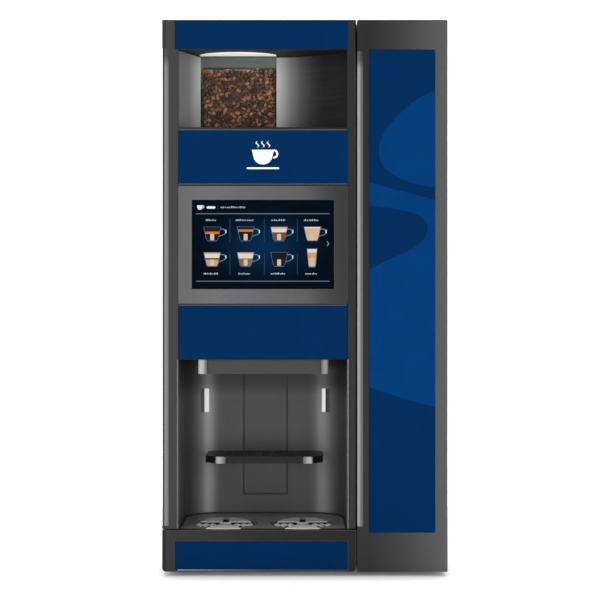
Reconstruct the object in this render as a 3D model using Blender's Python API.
"""Hot coffee vending machine with a swinging front door, a drip drawer and a slim side module.

Metres, +Z up, the front faces -Y and the machine stands on Z = 0, centred on X and Y.
The shapes are laid out in millimetres and scaled to metres when each mesh is made.
"""
import math

import bmesh
import bpy
from mathutils import Vector

MM = 0.001

# Driving dimensions, in millimetres.
X_LEFT = -218.5
X_RIGHT = 218.5
Y_FRONT = -280.0
Y_REAR = 280.0
Z_TOP = 850.0
FOOT = 6.0
X_MAIN = 78.5
X_SIDE = 80.0
PLINTH_TOP = 70.0
DOOR_BOTTOM = 72.0
DOOR_REAR = -214.5
SKIN_FRONT = -208.0
OPEN_L = -193.5
OPEN_R = 64.5
NICHE_Z = (684.0, 805.0)
WINDOW_X = (-164.3, -44.7)
BRAND_Z = (598.8, 681.8)
BEZEL_Z = (416.0, 596.2)
SCREEN_X = (-173.0, 44.6)
SCREEN_Z = (438.4, 574.7)
LOWER_Z = (331.8, 413.8)
ALCOVE_TOP = 331.0
ALCOVE_BACK = -122.0
ALCOVE_R = 52.0
ALCOVE_CX = -64.5
HINGE = (-212.5, -216.5)
SIDE_HINGE = (212.5, -257.0)
LID_AXIS = (-58.0, 845.0)
SHELF_AXIS = (-129.0, 169.5)
SHELF_TOP = 174.0
GRATE_X = (-125.5, -3.5)
GRATE_Y = -212.0
BREW_X = -105.0
BREW_Y = -48.0
GRIND_Y = -120.0
MIX = (22.0, -172.0)


def clear_scene():
    for obj in list(bpy.data.objects):
        bpy.data.objects.remove(obj, do_unlink=True)


def material(name, colour, roughness, metallic=0.0, transmission=0.0):
    mat = bpy.data.materials.new(name)
    mat.use_nodes = True
    shader = mat.node_tree.nodes["Principled BSDF"]
    shader.inputs["Base Color"].default_value = (*colour, 1.0)
    shader.inputs["Roughness"].default_value = roughness
    shader.inputs["Metallic"].default_value = metallic
    shader.inputs["Transmission Weight"].default_value = transmission
    mat.diffuse_color = (*colour, 1.0)
    return mat


def add_box(bm, x0, x1, y0, y1, z0, z1):
    add_prism(bm, [(x0, y0), (x1, y0), (x1, y1), (x0, y1)], "z", z0, z1)


def place(axis, u, v, a):
    """Point from two plane coordinates and a distance along the axis."""
    if axis == "z":
        return (u, v, a)
    if axis == "y":
        return (u, a, v)
    return (a, u, v)


def add_prism(bm, points, axis, a0, a1):
    low = [bm.verts.new(place(axis, u, v, a0)) for u, v in points]
    high = [bm.verts.new(place(axis, u, v, a1)) for u, v in points]
    bm.faces.new(low)
    bm.faces.new(high)
    for i in range(len(points)):
        j = (i + 1) % len(points)
        bm.faces.new((low[i], low[j], high[j], high[i]))


def add_turn(bm, profile, axis, centre, steps=24, loop=False):
    """Turns (radius, distance) rows round an axis; a row of radius 0 closes the end."""
    rows = []
    for radius, along in profile:
        if radius < 1e-6:
            rows.append([bm.verts.new(place(axis, centre[0], centre[1], along))])
            continue
        row = []
        for k in range(steps):
            angle = 2 * math.pi * (k + 0.5) / steps
            u = centre[0] + radius * math.cos(angle)
            v = centre[1] + radius * math.sin(angle)
            row.append(bm.verts.new(place(axis, u, v, along)))
        rows.append(row)
    pairs = list(zip(rows, rows[1:]))
    if loop:
        pairs.append((rows[-1], rows[0]))
    for a, b in pairs:
        for k in range(steps):
            n = (k + 1) % steps
            if len(a) == 1:
                bm.faces.new((a[0], b[k], b[n]))
            elif len(b) == 1:
                bm.faces.new((a[k], a[n], b[0]))
            else:
                bm.faces.new((a[k], a[n], b[n], b[k]))


def add_loft(bm, rings):
    """Skins rings of equally many points and caps both ends."""
    rows = [[bm.verts.new(point) for point in ring] for ring in rings]
    bm.faces.new(rows[0])
    bm.faces.new(rows[-1])
    for a, b in zip(rows, rows[1:]):
        for k in range(len(a)):
            n = (k + 1) % len(a)
            bm.faces.new((a[k], a[n], b[n], b[k]))


def ring(x0, x1, y0, y1, z, radius, per_corner=4):
    """Rounded rectangle at one height."""
    points = []
    corners = ((x1, y1, 0), (x0, y1, 90), (x0, y0, 180), (x1, y0, 270))
    for cx, cy, start in corners:
        mx = cx - radius if cx == x1 else cx + radius
        my = cy - radius if cy == y1 else cy + radius
        for k in range(per_corner):
            angle = math.radians(start + 90 * k / (per_corner - 1))
            points.append((mx + radius * math.cos(angle), my + radius * math.sin(angle), z))
    return points


def arc(cx, cy, radius, start, end, count):
    points = []
    for k in range(count + 1):
        angle = math.radians(start + (end - start) * k / count)
        points.append((cx + radius * math.cos(angle), cy + radius * math.sin(angle)))
    return points


def to_object(name, bm, pivot=(0.0, 0.0, 0.0)):
    bmesh.ops.recalc_face_normals(bm, faces=bm.faces)
    for vert in bm.verts:
        vert.co = (vert.co - Vector(pivot)) * MM
    mesh = bpy.data.meshes.new(name)
    bm.to_mesh(mesh)
    bm.free()
    obj = bpy.data.objects.new(name, mesh)
    obj.location = Vector(pivot) * MM
    bpy.context.scene.collection.objects.link(obj)
    return obj


def part(name, bm, mat, pivot=(0.0, 0.0, 0.0)):
    obj = to_object(name, bm, pivot)
    obj.data.materials.append(mat)
    return obj


def combine(obj, bm, operation):
    """Adds a Boolean whose helper is built in the same millimetre layout."""
    count = len(obj.modifiers)
    helper = to_object(f"{obj.name}_helper_{count}", bm)
    helper.hide_render = True
    helper.display_type = "WIRE"
    modifier = obj.modifiers.new(f"{operation.lower()}_{count}", "BOOLEAN")
    modifier.operation = operation
    modifier.solver = "EXACT"
    modifier.object = helper


def cut_boxes(obj, *boxes):
    bm = bmesh.new()
    for box in boxes:
        add_box(bm, *box)
    combine(obj, bm, "DIFFERENCE")


def join_boxes(obj, *boxes):
    bm = bmesh.new()
    for box in boxes:
        add_box(bm, *box)
    combine(obj, bm, "UNION")


def box_part(name, mat, *box, pivot=(0.0, 0.0, 0.0)):
    bm = bmesh.new()
    add_box(bm, *box)
    return part(name, bm, mat, pivot)


def cut_round(obj, axis, centre, radius, a0, a1, steps=24):
    bm = bmesh.new()
    add_turn(bm, [(0, a0), (radius, a0), (radius, a1), (0, a1)], axis, centre, steps)
    combine(obj, bm, "DIFFERENCE")


def join_round(obj, axis, centre, radius, a0, a1, steps=16):
    bm = bmesh.new()
    add_turn(bm, [(0, a0), (radius, a0), (radius, a1), (0, a1)], axis, centre, steps)
    combine(obj, bm, "UNION")


def corner_cutter(bm, x_edge, radius, z0, z1):
    """Takes the front-left edge off as a quarter round."""
    points = [(x_edge - 2, Y_FRONT - 2), (x_edge + radius, Y_FRONT - 2)]
    points += arc(x_edge + radius, Y_FRONT + radius, radius, 270, 180, 6)
    points.append((x_edge - 2, Y_FRONT + radius))
    add_prism(bm, points, "z", z0, z1)


def build_door_frame(mat):
    bm = bmesh.new()
    outline = [(X_LEFT, DOOR_REAR), (X_LEFT, Y_FRONT), (X_MAIN - 3, Y_FRONT)]
    outline += [(X_MAIN, Y_FRONT + 3), (X_MAIN, DOOR_REAR)]
    add_prism(bm, outline, "z", DOOR_BOTTOM, Z_TOP)
    obj = part("door_frame", bm, mat, pivot=(HINGE[0], HINGE[1], DOOR_BOTTOM))
    cut_boxes(obj, (-198, 69, -274, -213, 71, 845))
    cut_boxes(
        obj,
        (OPEN_L, OPEN_R, -281, -273, *NICHE_Z),
        (-177, 48, -281, -273, 434, 579),
        (-197, 68, -281, -273, 71, 330.8),
    )
    cut_boxes(
        obj,
        (-199, 65.2, -281, -277, 804.9, 848.3),
        (-194.3, 65.7, -281, -277, 331.2, 682.2),
    )
    bm = bmesh.new()
    corner_cutter(bm, X_LEFT, 10, 76, 806.7)
    combine(obj, bm, "DIFFERENCE")
    cut_round(obj, "z", HINGE, 3.1, 71, 86)
    cut_round(obj, "z", HINGE, 3.1, 828, 846)
    cut_round(obj, "z", HINGE, 11, 842.5, 851, 16)
    cut_round(obj, "z", (50, -244), 8.1, 844, 851)


def build_niche(liner_mat, lamp_mat):
    left = [(OPEN_L, -273.7), (WINDOW_X[0], DOOR_REAR - 0.3)]
    right = [(WINDOW_X[1], DOOR_REAR - 0.3), (-25, -216.5), (-2, -221.5), (20, -229)]
    right += [(42, -240), (OPEN_R, -254), (OPEN_R, -273.7)]
    outer_right = [(-42, DOOR_REAR - 0.3), (-24.5, -214.8), (0, -219), (21.5, -226.8)]
    outer_right += [(43.5, -237.8), (67, -252.8), (67, -273.7)]
    bm = bmesh.new()
    add_prism(bm, [(-196.5, -273.7), (-167.2, DOOR_REAR - 0.3)] + outer_right, "z", 680.5, 808)
    obj = part("niche_liner", bm, liner_mat)
    bm = bmesh.new()
    inner = [(OPEN_L - 1, -276), left[0], left[1], (WINDOW_X[0], -212), (WINDOW_X[1], -212)]
    inner += right + [(OPEN_R, -276)]
    add_prism(bm, inner, "z", 683.5, NICHE_Z[1])
    combine(obj, bm, "DIFFERENCE")
    bm = bmesh.new()
    half = (WINDOW_X[1] - WINDOW_X[0]) / 2 - 1
    middle = (WINDOW_X[1] + WINDOW_X[0]) / 2
    curve = []
    for k in range(13):
        t = math.pi * k / 12
        curve.append((middle + half * math.cos(t), -218 - 41 * math.sin(t)))
    add_prism(bm, curve + [(middle - half, -215.5), (middle + half, -215.5)], "z", 802.2, 804.7)
    part("niche_lamp", bm, lamp_mat)


def build_front_panels(blue, bezel_mat, glass):
    box_part("header_panel", blue, -198.6, 64.8, -279.8, -277.3, 805.6, 847.9)
    box_part("brand_panel", blue, -193.9, 65.3, -279.8, -277.3, *BRAND_Z)
    box_part("lower_panel", blue, -192.9, 64.6, -279.8, -277.3, *LOWER_Z)
    obj = box_part("screen_bezel", bezel_mat, -193.9, 65.3, -279.9, -277.3, *BEZEL_Z)
    cut_boxes(obj, (*SCREEN_X, -281, -276, *SCREEN_Z))
    low, high = SCREEN_X[0] + 0.4, SCREEN_X[1] - 0.4
    obj = box_part("touch_screen", glass, low, high, -279.6, -262, SCREEN_Z[0] + 0.4, SCREEN_Z[1] - 0.4)
    join_boxes(obj, (-185, 56, -273.6, -258, 428, 585))


def build_alcove(liner_mat, lamp_mat):
    inner = [(OPEN_L, -279.6)]
    inner += arc(OPEN_L + ALCOVE_R, ALCOVE_BACK - ALCOVE_R, ALCOVE_R, 180, 90, 8)
    inner += arc(OPEN_R - ALCOVE_R, ALCOVE_BACK - ALCOVE_R, ALCOVE_R, 90, 0, 8)
    inner.append((OPEN_R, -279.6))
    outer = [(OPEN_L - 3, -279.6)]
    outer += arc(OPEN_L + ALCOVE_R, ALCOVE_BACK - ALCOVE_R, ALCOVE_R + 3, 180, 90, 8)
    outer += arc(OPEN_R - ALCOVE_R, ALCOVE_BACK - ALCOVE_R, ALCOVE_R + 3, 90, 0, 8)
    outer.append((OPEN_R + 3, -279.6))
    bm = bmesh.new()
    add_prism(bm, outer, "z", DOOR_BOTTOM, ALCOVE_TOP + 3)
    obj = part("alcove_liner", bm, liner_mat)
    bm = bmesh.new()
    inner[0] = (OPEN_L, -282)
    inner[-1] = (OPEN_R, -282)
    add_prism(bm, inner, "z", DOOR_BOTTOM - 2, ALCOVE_TOP)
    combine(obj, bm, "DIFFERENCE")
    cut_boxes(obj, (-200, 72, -282, -273.6, 330.4, 336))
    cut_boxes(obj, (-150, 22, -130, -117, 306, 331.5))
    bm = bmesh.new()
    add_box(bm, ALCOVE_CX - 37, ALCOVE_CX + 37, -123, -120.2, 101, 298)
    combine(obj, bm, "DIFFERENCE")
    bm = bmesh.new()
    add_box(bm, ALCOVE_CX - 33.6, ALCOVE_CX + 33.6, -121.7, -119.5, 104.4, 299)
    combine(obj, bm, "UNION")
    for side in (-1, 1):
        bm = bmesh.new()
        slot_prism(bm, side, 7.3, 237, 276, -4, 8)
        combine(obj, bm, "DIFFERENCE")
        bm = bmesh.new()
        lens_prism(bm, side, 237.4, 275.6)
        part("alcove_lamp_left" if side < 0 else "alcove_lamp_right", bm, lamp_mat)
    for side in (-1, 1):
        a, b = sorted((ALCOVE_CX + side * 72, ALCOVE_CX + side * 78))
        join_round(obj, "x", SHELF_AXIS, 5.2, a, b, 16)
        join_boxes(obj, (a, b, SHELF_AXIS[0], -120.5, SHELF_AXIS[1] - 5, SHELF_AXIS[1] + 5))
        cut_round(obj, "x", SHELF_AXIS, 2.1, a - 1, b + 1, 16)


def corner_frame(side):
    """Origin, outward direction and sideways direction where a lamp sits in the corner."""
    angle = math.radians(90 - side * 25.8)
    cx = ALCOVE_CX + side * (129 - ALCOVE_R)
    cy = ALCOVE_BACK - ALCOVE_R
    out = Vector((math.cos(angle), math.sin(angle)))
    along = Vector((-out.y, out.x))
    return Vector((cx, cy)) + out * ALCOVE_R, out, along


def corner_prism(bm, side, shape, z0, z1):
    base, out, along = corner_frame(side)
    points = []
    for s, d in shape:
        point = base + along * s + out * d
        points.append((point.x, point.y))
    add_prism(bm, points, "z", z0, z1)


def slot_prism(bm, side, half, z0, z1, near, far):
    """Upright block set square to the curved corner of the alcove."""
    corner_prism(bm, side, [(-half, near), (half, near), (half, far), (-half, far)], z0, z1)


def lens_prism(bm, side, z0, z1):
    """Lamp with its lens on the inner half of the slot and a sunk housing beside it."""
    inner, outer = side * 6.9, -side * 6.9
    shape = [(inner, -1.0), (0.0, -1.0), (0.0, 1.6), (outer, 1.6), (outer, 6.0), (inner, 6.0)]
    corner_prism(bm, side, shape, z0, z1)


def build_hood(hood_mat, chrome):
    obj = box_part("nozzle_hood", hood_mat, -163.5, 36.7, -272.5, -132, 308, 330.5)
    cut_boxes(obj, (-160.5, 33.7, -269.5, -130, 300, 327.5))
    box_part("hood_trim_left", chrome, -163.4, -149.7, -274.4, -272.8, 308.4, 330.2)
    box_part("hood_trim_right", chrome, 24.4, 35.5, -274.4, -272.8, 308.4, 330.2)


def build_shelf(mat, chrome):
    pivot = (ALCOVE_CX, *SHELF_AXIS)
    left, right = ALCOVE_CX - 93.5, ALCOVE_CX + 93.5
    outline = [(left, -136), (left, -194), (left + 16, -210), (right - 16, -210)]
    outline += [(right, -194), (right, -136)]
    bm = bmesh.new()
    add_prism(bm, outline, "z", 163, SHELF_TOP)
    obj = part("cup_shelf", bm, mat, pivot)
    inner = [(left + 5, -141), (left + 5, -192), (left + 18, -205), (right - 18, -205)]
    inner += [(right - 5, -192), (right - 5, -141)]
    bm = bmesh.new()
    add_prism(bm, inner, "z", 162, SHELF_TOP - 3.2)
    combine(obj, bm, "DIFFERENCE")
    bm = bmesh.new()
    for k in range(6):
        x = ALCOVE_CX - 52.5 + 21 * k
        add_box(bm, x - 7, x + 7, -196, -150, 169, 176)
    combine(obj, bm, "DIFFERENCE")
    join_round(obj, "x", SHELF_AXIS, 4.2, ALCOVE_CX - 71.5, ALCOVE_CX + 71.5)
    join_boxes(obj, (ALCOVE_CX - 68, ALCOVE_CX + 68, -138, SHELF_AXIS[0], 167.5, 172.0))
    join_round(obj, "x", SHELF_AXIS, 2.0, ALCOVE_CX - 77, ALCOVE_CX + 77, 16)
    for name, a, b in (("shelf_clip_left", -141.2, -125.2), ("shelf_clip_right", -3.0, 12.4)):
        bm = bmesh.new()
        profile = [(-210.3, 163.2), (-210.3, 173.8), (-211.2, 173.8), (-212, 172.8)]
        profile += [(-212, 164), (-211.2, 163.2)]
        add_prism(bm, profile, "x", a, b)
        part(name, bm, chrome, pivot)


def build_lock(name, mat, x, y, cam_length):
    bm = bmesh.new()
    profile = [(0, 822), (5, 822), (5, 830), (8, 830), (8, 849.9), (0, 849.9)]
    add_turn(bm, profile, "z", (x, y), 24)
    obj = part(name, bm, mat, (x, y, 830))
    join_boxes(obj, (x - 4, x + 4, y - 3, y + cam_length, 823, 827))
    cut_boxes(obj, (x - 1, x + 1, y - 4, y + 4, 846, 851))


def build_drip_tray(shell_mat, blue, dark, steel):
    bm = bmesh.new()
    outline = arc(X_LEFT + 6, 12, 6, 180, 270, 4) + arc(X_MAIN - 6, 12, 6, 270, 360, 4)
    outline += [(X_MAIN, PLINTH_TOP), (X_LEFT, PLINTH_TOP)]
    add_prism(bm, outline, "y", Y_FRONT, -265)
    obj = part("tray_fascia", bm, shell_mat)
    cut_boxes(obj, (-199.2, 65.4, -281, -277, 8.7, 52.6))
    box_part("plinth_strip", blue, -198.8, 65.0, -279.8, -277.3, 9.1, 52.2)
    obj = box_part("tray_basin", dark, -190, 61, -264.7, -126, 14, 65.6)
    cut_boxes(obj, (-187, 58, -261.7, -129, 17, 67))
    shape = [(OPEN_L + 0.7, -264.7)]
    shape += arc(OPEN_L + 52.2, ALCOVE_BACK - 52, 51, 180, 90, 8)
    shape += arc(OPEN_R - 52.2, ALCOVE_BACK - 52, 51, 90, 0, 8)
    shape.append((OPEN_R - 0.7, -264.7))
    bm = bmesh.new()
    add_prism(bm, shape, "z", 66, 70)
    obj = part("tray_deck", bm, dark)
    for x in GRATE_X:
        cut_round(obj, "z", (x, GRATE_Y), 51.4, 67.3, 71, 32)
        cut_round(obj, "z", (x, GRATE_Y), 47, 65, 68, 32)
    for name, x in (("tray_grate_left", GRATE_X[0]), ("tray_grate_right", GRATE_X[1])):
        bm = bmesh.new()
        profile = [(0, 67.7), (50.6, 67.7), (50.6, 69.2), (49.8, 69.9), (0, 69.9)]
        add_turn(bm, profile, "z", (x, GRATE_Y), 32)
        obj = part(name, bm, steel)
        bm = bmesh.new()
        for k in range(6):
            u = x - 32.5 + 13 * k
            reach = 13 if k in (0, 5) else 20
            add_box(bm, u - 3.6, u + 3.6, GRATE_Y - reach, GRATE_Y + reach, 67, 71)
        combine(obj, bm, "DIFFERENCE")


def build_base(frame_mat, rubber):
    obj = box_part("base_frame", frame_mat, X_LEFT, X_MAIN, -261.5, 277.3, 6, 68.5)
    cut_boxes(obj, (-203, 65, -262.5, 262, 9, 70))
    join_round(obj, "z", HINGE, 3.0, 60, 84, 24)
    feet = {
        "foot_front_left": (-190, -235),
        "foot_front_right": (190, -225),
        "foot_rear_left": (-190, 245),
        "foot_rear_right": (190, 245),
    }
    for name, centre in feet.items():
        top = 5.7 if centre[0] < 0 else 8.7
        bm = bmesh.new()
        profile = [(0, 0), (16, 0), (18, 1.5), (18, 4.2), (10, top), (0, top)]
        add_turn(bm, profile, "z", centre, 20)
        part(name, bm, rubber)


def build_cabinet(skin, frame_mat, hole_mat):
    box_part("left_panel", skin, X_LEFT, -215.5, SKIN_FRONT, 277.3, 68.8, 846.2)
    box_part("right_panel", skin, 75.5, X_MAIN, SKIN_FRONT, 277.3, 68.8, 846.2)
    obj = box_part("rear_panel", skin, X_LEFT, X_MAIN, 277.6, Y_REAR, 68.8, 846.2)
    bm = bmesh.new()
    for row in range(7):
        z = 700 + 14 * row
        add_box(bm, -150, -80, 276, 282, z, z + 6)
        add_box(bm, -60, 10, 276, 282, z, z + 6)
    add_box(bm, 10.2, 60, 276, 282, 90.2, 150.4)
    combine(obj, bm, "DIFFERENCE")
    obj = box_part("top_panel", skin, X_LEFT, X_MAIN, SKIN_FRONT, Y_REAR, 846.5, Z_TOP)
    join_boxes(obj, (X_LEFT, -206.5, -222.5, SKIN_FRONT + 2, 846.5, Z_TOP))
    join_round(obj, "z", HINGE, 3.0, 831, 847.5, 24)
    cut_boxes(obj, (-186, -24, -196, -52.2, 845, 852))
    for x in (-190, -23.4):
        join_boxes(obj, (x, x + 3.4, -62, -53.5, 841.5, 847))
        cut_round(obj, "x", LID_AXIS, 1.4, x - 1, x + 4.4, 16)
    bm = bmesh.new()
    add_box(bm, -185.4, -24.6, -195.4, -57, 846.6, 849.9)
    obj = part("top_lid", bm, skin, pivot=(-105, *LID_AXIS))
    join_round(obj, "x", LID_AXIS, 2.7, -185, -25)
    join_round(obj, "x", LID_AXIS, 1.3, -189.5, -20.5, 16)
    cut_round(obj, "z", (-105, -198), 12, 845, 852, 20)
    obj = box_part("power_inlet", hole_mat, 10.6, 59.6, 256, 279.7, 90.6, 150)
    cut_boxes(obj, (18, 52, 264, 281, 96, 118), (22, 48, 262, 281, 125, 145))
    bm = bmesh.new()
    profile = [(266, 129), (266, 141), (278.4, 143.4), (277, 135), (278.4, 126.6)]
    add_prism(bm, profile, "x", 22.6, 47.4)
    part("rocker_switch", bm, hole_mat, pivot=(35, 271, 135))


def build_equipment_deck(mat):
    obj = box_part("equipment_deck", mat, -214.8, 74.8, -108, 277, 340, 343)
    join_boxes(obj, (-214.8, 74.8, 0, 3, 341.5, 840))
    cut_boxes(obj, (-140, -70, -98, -10, 338, 346))


def build_hopper(clear, beans):
    rings = []
    for x0, x1, y0, y1, z, r in (
        (GX - 21, GX + 21, GRIND_Y - 21, GRIND_Y + 21, 618.6, 4),
        (GX - 21, GX + 21, GRIND_Y - 21, GRIND_Y + 21, 632, 4),
        (-170, -39, -213.3, -60, 684, 6),
        (-170, -39, -213.3, -60, 838, 6),
    ):
        rings.append(ring(x0, x1, y0, y1, z, r, 3))
    bm = bmesh.new()
    add_loft(bm, rings)
    obj = part("bean_hopper", bm, clear)
    rings = []
    for x0, x1, y0, y1, z, r in (
        (GX - 18, GX + 18, GRIND_Y - 18, GRIND_Y + 18, 610, 2),
        (GX - 18, GX + 18, GRIND_Y - 18, GRIND_Y + 18, 632.8, 2),
        (-167, -42, -210.3, -63, 684.8, 4),
        (-167, -42, -210.3, -63, 845, 4),
    ):
        rings.append(ring(x0, x1, y0, y1, z, r, 3))
    bm = bmesh.new()
    add_loft(bm, rings)
    combine(obj, bm, "DIFFERENCE")
    rings = []
    for x0, x1, y0, y1, z, r in (
        (GX - 17, GX + 17, GRIND_Y - 17, GRIND_Y + 17, 622, 2),
        (GX - 17, GX + 17, GRIND_Y - 17, GRIND_Y + 17, 633.3, 2),
        (-166.2, -42.8, -209.5, -63.8, 685.6, 4),
        (-166.2, -42.8, -209.5, -63.8, 788, 4),
    ):
        rings.append(ring(x0, x1, y0, y1, z, r, 3))
    bm = bmesh.new()
    add_loft(bm, rings)
    part("bean_charge", bm, beans)


def build_grinder(metal, steel, dark):
    bm = bmesh.new()
    add_box(bm, GX - 22, GX + 22, GRIND_Y - 27, GRIND_Y + 46, 614.8, 617.8)
    obj = part("hopper_shutter", bm, steel)
    cut_boxes(obj, (GX - 17, GX + 17, GRIND_Y - 22, GRIND_Y + 12, 613, 619))
    join_boxes(obj, (GX - 10, GX + 10, GRIND_Y - 44, GRIND_Y - 24, 614.8, 617.8))
    bm = bmesh.new()
    profile = [(0, 452), (34, 452), (37, 455), (37, 510), (44, 518), (44, 614)]
    profile += [(26, 614), (26, 545), (0, 545)]
    add_turn(bm, profile, "z", (GX, GRIND_Y), 24)
    obj = part("grinder_body", bm, metal)
    join_boxes(obj, (GX - 16, GX + 16, GRIND_Y + 36, -0.4, 520, 540))
    cut_round(obj, "y", (GX, 562), 8, GRIND_Y + 10, GRIND_Y + 50, 12)
    bm = bmesh.new()
    profile = [(0, 545.6), (23, 545.6), (23, 552), (9, 590), (0, 594)]
    add_turn(bm, profile, "z", (GX, GRIND_Y), 12)
    part("grinder_burr", bm, dark, pivot=(GX, GRIND_Y, 546))


def gear_outline(cx, cy, teeth, inner, outer):
    points = []
    for k in range(teeth * 4):
        radius = outer if k % 4 in (1, 2) else inner
        angle = 2 * math.pi * (k - 1.5) / (teeth * 4)
        points.append((cx + radius * math.cos(angle), cy + radius * math.sin(angle)))
    return points


def build_brewer(body_mat, steel, gear_mat):
    obj = box_part("brewer_body", body_mat, -146, -64, -94, -0.4, 343.4, 440)
    cut_round(obj, "z", (BREW_X, BREW_Y), 24, 340, 450)
    cut_round(obj, "x", (BREW_Y, 392), 2.9, -147, -134, 16)
    bm = bmesh.new()
    profile = [(0, 352), (23.9, 352), (23.9, 366), (6, 368), (6, 395), (0, 395)]
    add_turn(bm, profile, "z", (BREW_X, BREW_Y), 24)
    part("brew_piston", bm, steel, pivot=(BREW_X, BREW_Y, 352))
    bm = bmesh.new()
    add_prism(bm, gear_outline(BREW_Y, 392, 14, 26, 30), "x", -155, -148)
    obj = part("brew_gear", bm, gear_mat, pivot=(-150, BREW_Y, 392))
    join_round(obj, "x", (BREW_Y, 392), 2.8, -154, -137, 16)


def build_water(boiler_mat, pump_mat):
    bm = bmesh.new()
    profile = [(0, 343.4), (38, 343.4), (45, 350), (45, 520), (36, 536), (12, 542)]
    profile += [(12, 556), (0, 556)]
    add_turn(bm, profile, "z", (-140, 140), 24)
    part("boiler", bm, boiler_mat)
    bm = bmesh.new()
    profile = [(0, 90), (24, 90), (24, 150), (15, 156), (15, 190), (6, 192), (6, 202), (0, 202)]
    add_turn(bm, profile, "y", (-10, 378), 20)
    obj = part("pump", bm, pump_mat)
    join_boxes(obj, (-34, 14, 96, 146, 343.4, 366))


def build_powder(box_mat, steel, bowl_mat):
    for name, x in (("canister_milk", -3), ("canister_choc", 47)):
        obj = box_part(name, box_mat, x - 23, x + 23, -150, -0.4, 558, 790)
        bm = bmesh.new()
        add_loft(bm, [
            ring(x - 12.5, x + 12.5, -147, -4, 561, 2, 2),
            ring(x - 12.5, x + 12.5, -147, -4, 586, 2, 2),
            ring(x - 20, x + 20, -147, -4, 612, 2, 2),
            ring(x - 20, x + 20, -147, -4, 795, 2, 2),
        ])
        combine(obj, bm, "DIFFERENCE")
        cut_round(obj, "y", (x, 574), 11.6, -152, -146, 16)
    for name, x in (("auger_milk", -3), ("auger_choc", 47)):
        bm = bmesh.new()
        rows = []
        for k in range(31):
            y = -162 + 154 * k / 30
            turn = math.radians(30 * k)
            corners = []
            for u, v in ((10, 2.2), (-10, 2.2), (-10, -2.2), (10, -2.2)):
                cx = x + u * math.cos(turn) - v * math.sin(turn)
                cz = 574 + u * math.sin(turn) + v * math.cos(turn)
                corners.append((cx, y, cz))
            rows.append(corners)
        add_loft(bm, rows)
        bmesh.ops.triangulate(bm, faces=bm.faces)
        part(name, bm, steel, pivot=(x, -80, 574))
    mx, my = MIX
    outer = (
        (mx - 20, mx + 20, my - 20, my + 20, 440, 19.9),
        (mx - 20, mx + 20, my - 20, my + 20, 478, 19.9),
        (-26, 70, -207, -136, 510, 10),
        (-26, 70, -207, -136, 530, 10),
    )
    inner = (
        (mx - 17.4, mx + 17.4, my - 17.4, my + 17.4, 443, 17.3),
        (mx - 17.4, mx + 17.4, my - 17.4, my + 17.4, 479, 17.3),
        (-23.4, 67.4, -204.4, -138.6, 511, 8),
        (-23.4, 67.4, -204.4, -138.6, 532, 8),
    )
    bm = bmesh.new()
    add_loft(bm, [ring(*row, 5) for row in outer])
    obj = part("mixer_bowl", bm, bowl_mat)
    bm = bmesh.new()
    add_loft(bm, [ring(*row, 5) for row in inner])
    combine(obj, bm, "DIFFERENCE")
    join_boxes(obj, (mx - 9, mx + 9, my + 18.4, -0.4, 455, 470))
    cut_round(obj, "x", (my, 449), 4, mx - 24, mx - 10, 12)
    bm = bmesh.new()
    add_turn(bm, [(0, 444), (14, 444), (14, 446), (3, 448), (3, 462), (0, 462)], "z", MIX, 16)
    obj = part("mixer_impeller", bm, steel, pivot=(mx, my, 444))
    join_boxes(obj, (mx - 13, mx + 13, my - 1.2, my + 1.2, 445, 456))


def build_spouts(mat):
    obj = box_part("nozzle_bracket", mat, -92, -37, -188, -112, 315, 325)
    join_boxes(obj, (-92, -37, -115.5, -108.5, 316, 346))
    for x in (ALCOVE_CX - 14, ALCOVE_CX + 14):
        join_round(obj, "z", (x, -178), 6, 309.5, 318)
        cut_round(obj, "z", (x, -178), 3.6, 308, 326, 12)


def build_bucket(mat):
    rings = [ring(-188, 48, -108, 56, 9.4, 10, 3), ring(-195, 55, -112, 60, 240, 10, 3)]
    bm = bmesh.new()
    add_loft(bm, rings)
    obj = part("grounds_bucket", bm, mat)
    rings = [ring(-185, 45, -105, 53, 12.4, 8, 3), ring(-192.2, 52.2, -109.2, 57.2, 246, 8, 3)]
    bm = bmesh.new()
    add_loft(bm, rings)
    combine(obj, bm, "DIFFERENCE")


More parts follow.
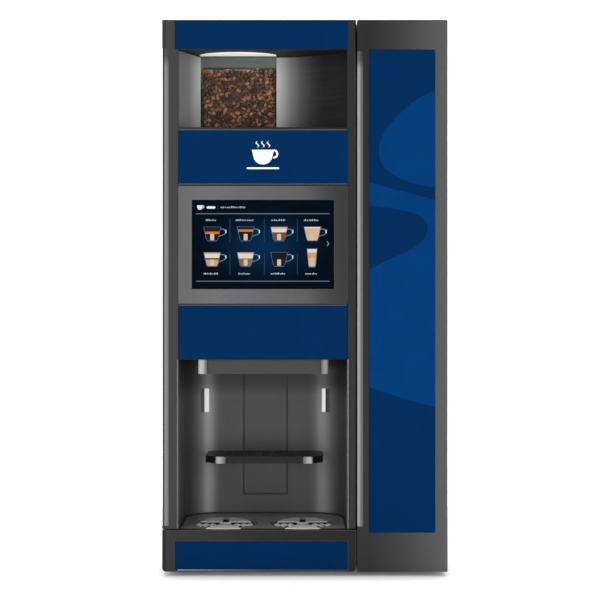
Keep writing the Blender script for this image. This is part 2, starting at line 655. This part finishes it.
def build_side_module(shell_mat, door_mat, insert_mat, tank_mat):
    sx, sy = SIDE_HINGE
    obj = box_part("side_shell", shell_mat, X_SIDE, X_RIGHT, -249.3, Y_REAR, 9, 849.3)
    cut_boxes(obj, (82.5, 216, -252, 277, 12, 846))
    join_boxes(
        obj,
        (206.5, X_RIGHT, -262.5, -248, 9, 12),
        (206.5, X_RIGHT, -262.5, -248, 846, 849.3),
    )
    join_round(obj, "z", SIDE_HINGE, 3.0, 11, 24, 24)
    join_round(obj, "z", SIDE_HINGE, 3.0, 834, 847, 24)
    bm = bmesh.new()
    outline = [(X_SIDE, -254.5), (X_SIDE, Y_FRONT), (X_RIGHT - 3, Y_FRONT)]
    outline += [(X_RIGHT, Y_FRONT + 3), (X_RIGHT, -254.5)]
    add_prism(bm, outline, "z", 6, Z_TOP)
    obj = part("side_door", bm, door_mat, pivot=(sx, sy, 6))
    cut_boxes(obj, (84, 204, -274, -253, 12, 845))
    cut_boxes(obj, (97.3, 199.2, -281, -277.4, 66, 804.5))
    bm = bmesh.new()
    corner_cutter(bm, X_SIDE, 9, 75, 802.5)
    combine(obj, bm, "DIFFERENCE")
    cut_round(obj, "z", SIDE_HINGE, 3.1, 5, 26)
    cut_round(obj, "z", SIDE_HINGE, 3.1, 832, 851)
    cut_round(obj, "z", SIDE_HINGE, 11, 4, 13, 16)
    cut_round(obj, "z", SIDE_HINGE, 11, 845.3, 852, 16)
    cut_round(obj, "z", (110, -263), 8.1, 844, 852)
    box_part("side_insert", insert_mat, 97.7, 198.8, -279.8, -277.7, 66.4, 804.1)
    obj = box_part("water_tank", tank_mat, 92, 206, -225, 180, 12.4, 430)
    cut_boxes(obj, (94.5, 203.5, -222.5, 177.5, 15, 427))
    cut_round(obj, "z", (149, -150), 24, 420, 436, 20)


GX = BREW_X


def build():
    clear_scene()
    anthracite = material("anthracite", (0.075, 0.078, 0.082), 0.42, 0.3)
    grey = material("grey_trim", (0.12, 0.123, 0.128), 0.38, 0.3)
    liner = material("alcove_grey", (0.06, 0.063, 0.066), 0.4, 0.3)
    niche = material("niche_grey", (0.13, 0.135, 0.14), 0.45)
    lamp = material("lamp_lens", (0.95, 0.96, 0.98), 0.3)
    blue = material("blue_panel", (0.001, 0.026, 0.102), 0.4)
    glass = material("screen_glass", (0.003, 0.006, 0.014), 0.12)
    chrome = material("chrome_trim", (0.75, 0.76, 0.78), 0.12, 1.0)
    steel = material("steel", (0.6, 0.6, 0.61), 0.3, 1.0)
    black = material("black_plastic", (0.02, 0.021, 0.023), 0.45)
    rubber = material("rubber", (0.015, 0.015, 0.015), 0.8)
    sheet = material("galvanised_sheet", (0.42, 0.44, 0.45), 0.45, 0.9)
    clear = material("clear_hopper", (0.75, 0.78, 0.78), 0.1, 0.0, 0.9)
    beans = material("coffee_beans", (0.09, 0.032, 0.012), 0.5)
    alloy = material("cast_alloy", (0.45, 0.46, 0.47), 0.4, 0.9)
    brass = material("brass", (0.6, 0.4, 0.15), 0.35, 1.0)
    ivory = material("ivory_plastic", (0.6, 0.58, 0.52), 0.5)
    build_door_frame(anthracite)
    build_niche(niche, lamp)
    build_front_panels(blue, grey, glass)
    build_alcove(liner, lamp)
    build_hood(grey, chrome)
    build_shelf(black, chrome)
    build_lock("door_lock", chrome, 50, -244, 37)
    build_drip_tray(grey, blue, black, steel)
    build_base(sheet, rubber)
    build_cabinet(anthracite, sheet, black)
    build_equipment_deck(sheet)
    build_hopper(clear, beans)
    build_grinder(alloy, steel, steel)
    build_brewer(black, steel, ivory)
    build_water(steel, brass)
    build_powder(ivory, steel, clear)
    build_spouts(black)
    build_bucket(black)
    build_side_module(anthracite, anthracite, blue, ivory)
    build_lock("side_lock", chrome, 110, -263, 16)


build()
